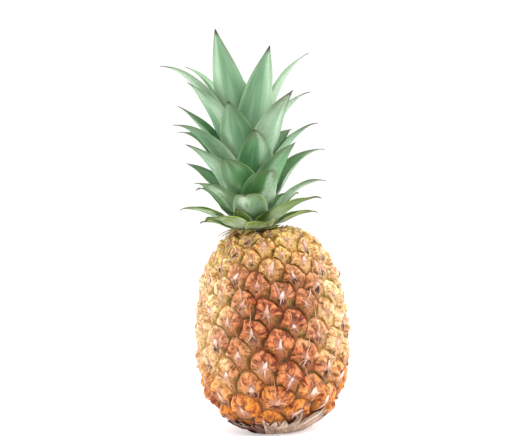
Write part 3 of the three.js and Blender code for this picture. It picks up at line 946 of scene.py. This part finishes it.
def leafFinish():
    f = Finish("waxyLeaf")
    u, s, face = f.parts(f.attribute("leafPlace"))
    shade, rank = f.parts(f.attribute("leafLook"))[:2]
    whole, half = f.parts(f.attribute("leafPale"))[:2]
    place = f.place()
    veins = f.noise(f.vector(u * 6, s * 0.5, shade * 60), 2.2, 3, 0.6)
    bands = f.noise(f.vector(u * 1.2 + shade * 9, s * 1.4, shade * 30), 1.5, 1)
    cloud = f.noise(place, 45, 3, 0.6)
    flecks = f.noise(place, 420, 3, 0.6)

    def byRank(key):
        return f.blend(rank, *leafTones[key])

    green = f.node("ValToRGB", {"stops": leafTones["greens"]}, (rank + (shade - 0.5) * 0.12,))
    low = f.fade(rank, 0.28, 0.02)
    green = f.blend(f.fade(bands, 0.48, 0.7) * 0.7, green, byRank("bands"))
    # painted light and shade on the two halves of some leaves; here the darker half, as in shade
    side = u * half + (cloud - 0.5) * 0.1 * abs(half)
    darker = f.fade(side, 0.02, -0.12)
    green = f.blend(darker * (0.3 + 0.5 * low), green, byRank("paintedShadeHalf"))
    # waxy bloom: strongest towards the foot and in broad bands along the leaf; painted light on the paler
    # leaves and on the lit half is added to it
    frost = f.fade(s + (cloud - 0.5) * 0.8, 0.75, 0.15) * (0.15 + 0.35 * shade)
    bloomAndPaintedLight = (frost + f.fade(bands, 0.48, 0.32) * 0.65) * (1 - 0.4 * low) * (1 - 0.6 * darker)
    bloomAndPaintedLight = bloomAndPaintedLight + whole + f.fade(side, 0.0, 0.12) * abs(half)
    color = f.blend(bloomAndPaintedLight * f.fade(flecks, 0.2, 0.5), green, leafTones["bloomAndPaintedLight"])
    color = f.blend(f.fade(veins, 0.5, 0.75) * 0.2, color, "cbdcc6")
    color = f.blend(f.fade(veins, 0.48, 0.3) * 0.25, color, "3f6c44")
    inner = f.fade(face, 0.2, -0.2)
    color = f.blend(inner * 0.6, color, byRank("innerSide"))
    rimmed = f.fade(abs(u), 0.35, 0.85) * f.fade(s + (cloud - 0.5) * 0.3, 0.3, 0.7) * f.fade(rank, 0.75, 0.45)
    color = f.blend(rimmed * 0.65, color, byRank("rims"))
    edge = f.fade(abs(u) + 0.06 * low, 0.9, 0.99)
    color = f.blend(edge * (0.2 + 0.6 * low), color, f.blend(low, "93964c", "b0b850"))
    upper = f.fade(s + (cloud - 0.5) * 0.25, 0.62, 0.98)
    color = f.blend(upper * f.fade(abs(u), 0.2, 0.95) * 0.6, color, "63664c")
    color = f.blend(upper * f.fade(rank, 0.72, 0.6) * 0.6, color, "4f5a38")
    color = f.blend(upper * low * 0.7, color, "5f652c")
    dry = f.fade(s + (cloud - 0.5) * 0.1 + (shade - 0.5) * 0.05, 0.92, 0.985)
    color = f.blend(dry, color, leafTones["tip"])
    washed = f.fade(s + (cloud - 0.5) * 0.3, 0.5, 0.1) * (1 - inner) * low
    color = f.blend(f.fade(s, 0.14, 0.0) * 0.6 + washed * 0.5, color, leafTones["foot"])
    normal = f.bump(veins * f.fade(s, 1.0, 0.5), 0.0003, 0.4)
    return f.set(color=color, roughness=0.5 + 0.2 * cloud, normal=normal, specular=0.35)


waxyLeaf = leafFinish()
makeLeaves(waxyLeaf)
print("leaves:", crown["leaves"])


bracts = {
    "inner": 12.4,  # distance of the feet from the axis
    "height": [17, 12, 12, 13, 11, 11, 13, 18],
    "bleach": [0.6, 0.5, 0.4, 0.5, 0.1, 0.0, 0.7, 1.0],  # from brown to papery white
    "width": 27,
    "thickness": 0.6,
    "lowest": 0.5,  # height of the middle surface where a bract lies on the table
    "clearance": 1.3,
    "clasp": 0.34,  # half of the fruit's girth that one may take, in radians
    "beak": 4.6,  # height of the solid's eyes, which the bracts clear
    "unevenness": 0.12,
    "split": 0.22,  # share of the length that lies under the fruit
    "across": 15,
    "stations": 35,
    "crumple": 1.3,
}


def bractRule(i, azimuth, top, width, outside=0.0):  # flat under the base, then up along the fruit's flank
    rim = float(fruitRadius(np.array(fruit["baseLift"])))
    split = bracts["split"]

    def pointAt(s, u):
        ragged = 1 + 0.14 * np.sin(7 * u + i) + 0.1 * np.sin(19 * u + 2 * i)
        rise = np.clip((s * ragged - split) / (1 - split), 0, 1.15)
        height = fruit["baseLift"] + top * rise ** 1.3
        p = profileAt("z", height)
        away = bracts["beak"] * (1 + bracts["unevenness"]) * reliefShare(height)
        away = away + bracts["clearance"] + bracts["lowest"] + outside
        away = away - (2 + 1.4 * u ** 2) * ramp(s, 0.3, 0.7)  # the tip and the edges cling to the fruit
        creased = np.sin(u * 6 + s * 5 + i) + 0.6 * np.sin(u * 15 - s * 9 + 2 * i)
        creased = creased + 0.4 * np.sin(s * 23 + u * 4)
        away = away + bracts["crumple"] * creased * ramp(s, 0.25, 0.6) * 0.6
        flat = s < split
        r = np.where(flat, lerp(bracts["inner"], rim, s / split), p["r"] + p["out"] * away)
        z = np.where(flat, bracts["lowest"], np.maximum(bracts["lowest"], p["z"] + p["up"] * away))
        taper = 1 - 0.9 * climb(s, 0.5, 1) ** 1.7
        turn = azimuth + u * np.minimum(width / 2 * taper, bracts["clasp"] * r) / r
        return np.stack([r * np.cos(turn), r * np.sin(turn), z], axis=1)

    return pointAt


def paperFinish():
    f = Finish("dryBract")
    u, s, shade = f.parts(f.attribute("paperPlace"))
    place = f.place()
    fibre = f.noise(f.vector(u * 8, s * 0.8, shade * 50), 2.6, 4, 0.65)
    patchy = f.noise(place, 120, 4, 0.6)
    color = f.blend(shade, "6e3c30", "d8c2ac")
    color = f.blend(f.fade(fibre, 0.46, 0.6) * 0.8, color, f.blend(shade, "341410", "8c6652"))
    color = f.blend(f.fade(fibre, 0.42, 0.3) * 0.8, color, f.blend(shade, "a87c6a", "fbeee2"))
    color = f.blend(f.fade(patchy, 0.5, 0.62) * 0.7, color, f.blend(shade, "421e1c", "a07c6c"))
    color = f.blend(f.fade(abs(u), 0.8, 1.0) * 0.4, color, "5f4036")
    color = f.blend(f.fade(s, 0.85, 1.0) * 0.4, color, "e9dcc8")
    normal = f.bump(fibre, 0.001, 0.6)
    return f.set(color=color, roughness=0.75, normal=normal, specular=0.25)


def toTable(points):  # nothing reaches below the table
    points[:, 2] = np.maximum(points[:, 2], 0)
    return points * mm


def makeBracts(material):
    count = len(bracts["height"])
    names = [f"baseBract{i + 1}" for i in range(count)]
    azimuths = [(i + 0.06 * wobble(i, 5)) / count * 2 * math.pi for i in range(count)]
    rules = [bractRule(i, azimuths[i], bracts["height"][i], bracts["width"]) for i in range(count)]

    def paint(bract, i, u, s, face):
        paintBlade(bract, "paperPlace", u, s, bracts["bleach"][i])

    thickness = thinned(bracts["thickness"], 0.5)
    for i, bract in enumerate(makeBlades(bracts, names, rules, thickness, toTable, paint)):
        finishPiece(bract, material, [f"base_bract_{i + 1}"])


dryPaper = paperFinish()
makeBracts(dryPaper)
print("base bracts:", len(bracts["height"]))


shreds = {  # torn ones over the base bracts
    "places": [  # azimuth in degrees, height, width and how far bleached
        (258, 12, 9, 0.9), (279, 15, 13, 1.0), (293, 19, 12, 0.8), (303, 15, 9, 1.0), (322, 20, 13, 0.9),
        (334, 15, 8, 0.7), (204, 12, 12, 0.1), (240, 11, 12, 0.2), (20, 14, 12, 0.5), (66, 12, 11, 0.6),
        (112, 14, 13, 0.4), (158, 12, 10, 0.5)
    ],
    "thickness": 0.4,
    "outside": 0.9,  # of the bracts below
    "start": 0.25,  # share of a bract's length at which they begin
    "across": 7,
    "stations": 22,
}


def shredRule(i):  # the upper part of a narrow bract
    degrees, top, width = shreds["places"][i][:3]
    rule = bractRule(20 + i, math.radians(degrees), top, width, shreds["outside"])
    return lambda s, u: rule(lerp(shreds["start"], 1, s), u)


def makeShreds():
    count = len(shreds["places"])
    names = [f"shred{i}" for i in range(count)]
    rules = [shredRule(i) for i in range(count)]

    def paint(shred, i, u, s, face):
        paintBlade(shred, "paperPlace", u, s, shreds["places"][i][3])

    thickness = thinned(shreds["thickness"], 0.5)
    return joinAll(makeBlades(shreds, names, rules, thickness, toTable, paint), "baseShreds")


baseShreds = makeShreds()
finishPiece(baseShreds, dryPaper)
print("shreds:", len(shreds["places"]))


collar = {
    "count": 21,
    "length": (10, 20),
    "width": (6, 11),
    "foot": (0.6, 1.3),  # height on the stem
    "thickness": 0.6,
    "clearance": 0.8,  # over the eyes
    "across": 6,
    "stations": 16,
}


def leafletRule(i):  # a dried leaflet that hangs out over the fruit's top
    azimuth = i * goldenAngle * 3 + 0.3 * wobble(i, 71)
    length = lerp(*collar["length"], share(i, 72))
    halfWidth = lerp(*collar["width"], share(i, 73)) / 2
    foot = lerp(*collar["foot"], share(i, 74))
    rise, droop, curl = 0.15 + 0.25 * wobble(i, 75), 0.5 + 0.3 * wobble(i, 76), 0.5 * wobble(i, 77)

    def pointAt(s, u):
        side = u * halfWidth * (1 - np.clip(s, 0, 1) ** 1.8 * 0.96)
        r = stemRadius(foot) + 0.4 + length * s * (1 - 0.12 * s)
        turn = azimuth + side / r + curl * s ** 2
        z = foot + length * (rise * s - droop * s ** 2) + 0.12 * side ** 2 * (1 - 1.6 * s)
        x, y = r * np.cos(turn), r * np.sin(turn)
        fromAxis = np.hypot(x + crown["offset"], y)
        upper = profile["z"] > fruit["widest"]
        surface = np.interp(fromAxis, profile["r"][upper], profile["z"][upper])
        cover = skin["relief"] * 1.4 * reliefShare(surface) + collar["clearance"]
        lowest = surface - fruit["height"] + crown["sink"] + cover
        z = lowest + np.logaddexp(0, (z - lowest) * 1.5) / 1.5
        return np.stack([x, y, z], axis=1)

    return pointAt


def leafletFinish():
    f = Finish("driedLeaflet")
    u, s, shade = f.parts(f.attribute("leafletPlace"))
    fibre = f.noise(f.vector(u * 7, s * 0.9, shade * 50), 2.4, 3, 0.6)
    color = f.blend(f.fade(shade, 0.3, 0.7), "a2ac66", "c8a06a")
    color = f.blend(f.fade(fibre, 0.45, 0.7) * 0.6, color, "7c5c34")
    color = f.blend(f.fade(fibre, 0.42, 0.25) * 0.6, color, "e4d6a6")
    color = f.blend(f.fade(s, 0.6, 1.0) * 0.7, color, "a8844c")
    return f.set(color=color, roughness=0.7, normal=f.bump(fibre, 0.0008, 0.5), specular=0.3)


def makeCollar():
    names = [f"leaflet{i}" for i in range(collar["count"])]
    rules = [leafletRule(i) for i in range(collar["count"])]

    def paint(leaflet, i, u, s, face):
        paintBlade(leaflet, "leafletPlace", u, s, share(i, 78))

    thickness = thinned(collar["thickness"], 0.6)
    return joinAll(makeBlades(collar, names, rules, thickness, toCrown, paint), "crownCollar")


crownCollar = makeCollar()
finishPiece(crownCollar, leafletFinish())
print("collar leaflets:", collar["count"])


smallLeaves = {  # half-grown leaves in the gaps between the lowest large ones
    "azimuths": (252, 293, 206, 344, 164, 122, 70, 27),
    "length": (31, 24, 26, 27, 26, 28, 25, 27),
    "width": (12, 16),
    "foot": 3.8,
    "gap": 3.0,  # between the stem and a foot
    "slope": (38, 34),  # at the foot and at the tip
    "channel": 25,  # radius of the trough
    "rank": 0.05,  # they have the lowest leaves' colours
    "thickness": 0.7,
    "across": 6,
    "stations": 20,
}


def smallLeafRule(i, azimuth):
    length = smallLeaves["length"][i]
    halfWidth = lerp(*smallLeaves["width"], share(i, 82)) / 2
    foot = smallLeaves["foot"]
    start, end = (math.radians(angle) for angle in smallLeaves["slope"])

    def pointAt(s, u):
        angle = lerp(start, end, s ** 1.6)
        middle = lerp(start, angle, 0.4)  # the slope of the straight line from the foot
        r = stemRadius(foot) + smallLeaves["gap"] + length * s * np.cos(middle)
        side = u * halfWidth * leafOutline(s)
        turn = math.radians(azimuth) + side / r
        trough = side ** 2 / (2 * smallLeaves["channel"])
        reach = r - np.sin(angle) * trough
        z = foot + length * s * np.sin(middle) + np.cos(angle) * trough
        return np.stack([reach * np.cos(turn), reach * np.sin(turn), z], axis=1)

    return pointAt


def makeSmallLeaves():
    azimuths = smallLeaves["azimuths"]
    names = [f"smallLeaf{i}" for i in range(len(azimuths))]
    rules = [smallLeafRule(i, azimuth) for i, azimuth in enumerate(azimuths)]

    def paint(leaf, i, u, s, face):
        paintLeaf(leaf, u, s, face, smallLeaves["rank"], 100 + i)

    thickness = thinned(smallLeaves["thickness"], 0.6)
    return joinAll(makeBlades(smallLeaves, names, rules, thickness, toCrown, paint), "smallLeaves")


smallLeafPiece = makeSmallLeaves()
finishPiece(smallLeafPiece, waxyLeaf)
print("small leaves:", len(smallLeaves["azimuths"]))


def fibreFinish(name, color, darker, paler):
    f = Finish(name)
    fibre = f.noise(f.node("Mapping", None, {"Vector": f.place(), "Scale": (500, 500, 60)}), 1.0, 4, 0.65)
    shade = f.blend(f.fade(fibre, 0.4, 0.65), color, darker)
    shade = f.blend(f.fade(fibre, 0.42, 0.25) * 0.7, shade, paler)
    return f.set(color=shade, roughness=0.8, normal=f.bump(fibre, 0.0008, 0.5))


for node, material in (
    ("stalk", fibreFinish("cutStalk", "c9b183", "8d744a", "e6d6ae")),
    ("crown_stem", fibreFinish("crownStem", "b5bf86", "7f8f4e", "d8dcb4")),
):
    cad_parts[node].data.materials.clear()
    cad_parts[node].data.materials.append(material)


view = {
    "distance": 1600,
    "elevation": math.radians(3.5),
    "roll": math.radians(3.0),
    "target": 170,  # height on the axis at which the camera looks
    "frameWidth": 441,  # what the frame's width covers there
    "sensor": 36,
    "shift": (-0.008, 0.0215),
}


studio = {
    "background": 1.05,
    "ambient": 0.27,
    "glows": {  # direction, size from its middle to its edge in degrees, and strength
        "left": ((-1.0, 0.1, 0.4), 42, 4.2),
        "right": ((1.0, 0.05, 0.5), 42, 5.3),
        "overhead": ((-0.1, -0.6, 1.2), 45, 3.4),
    },
}


def makeFloor():  # pale near the object, and as white as the background further away
    bpy.ops.mesh.primitive_plane_add(size=12, location=(0, 0, 0))
    floor = bpy.context.object
    floor.name = "floor"
    f = Finish("paleFloor")
    grain = f.noise(f.place(), 3, 2)
    f.set(color=f.blend(grain, "f6f4f8", "faf9fc"), roughness=0.6, specular=0.2)
    f.set(glow="ffffff", glowStrength=0.3)
    px, py = f.parts(f.place())[:2]
    near = Wire(f, f.surface.outputs["BSDF"])
    far = f.node("Emission", None, {"Strength": studio["background"]})
    mixed = f.node("MixShader", None, (f.fade(px * px + py * py, 0.01, 0.25), near, far))
    f.feed(f.tree.nodes["Material Output"].inputs["Surface"], mixed)
    f.material.cycles.emission_sampling = "NONE"
    floor.data.materials.append(f.material)


def makeCamera():
    camera = bpy.data.cameras.new("camera")
    camera.sensor_width = view["sensor"]
    camera.lens = view["sensor"] * view["distance"] / view["frameWidth"]
    camera.shift_x, camera.shift_y = view["shift"]
    holder = bpy.data.objects.new("camera", camera)
    bpy.context.collection.objects.link(holder)
    back = Vector((0, -math.cos(view["elevation"]), math.sin(view["elevation"])))
    target = Vector((0, 0, view["target"] * mm))
    upright = Matrix.Rotation(math.pi / 2 - view["elevation"], 4, "X")
    holder.matrix_world = (
        Matrix.Translation(target + back * view["distance"] * mm)
        @ upright
        @ Matrix.Rotation(-view["roll"], 4, "Z")
    )
    bpy.context.scene.camera = holder


def makeLight():  # a white studio with three soft glows, and plain white where the camera sees it
    f = Finish("studio", world=True)
    direction = f.node("TexCoord", out="Generated")
    light = studio["ambient"]
    for towards, size, strength in studio["glows"].values():
        aim = Vector(towards).normalized()
        settings = {"operation": "DOT_PRODUCT"}
        facing = f.node("VectorMath", settings, (direction, aim), out="Value")
        light = f.fade(facing, math.cos(math.radians(size)), 1.0) * strength + light
    seen = f.node("LightPath", out="Is Camera Ray")
    f.surface.inputs["Color"].default_value = (1, 1, 1, 1)
    f.set(strength=light + (studio["background"] - light) * seen)
    bpy.context.scene.world = f.material
    bpy.context.scene.view_settings.view_transform = "Standard"


deselectAll()
makeFloor()
makeCamera()
makeLight()
print("floor, light and camera placed")
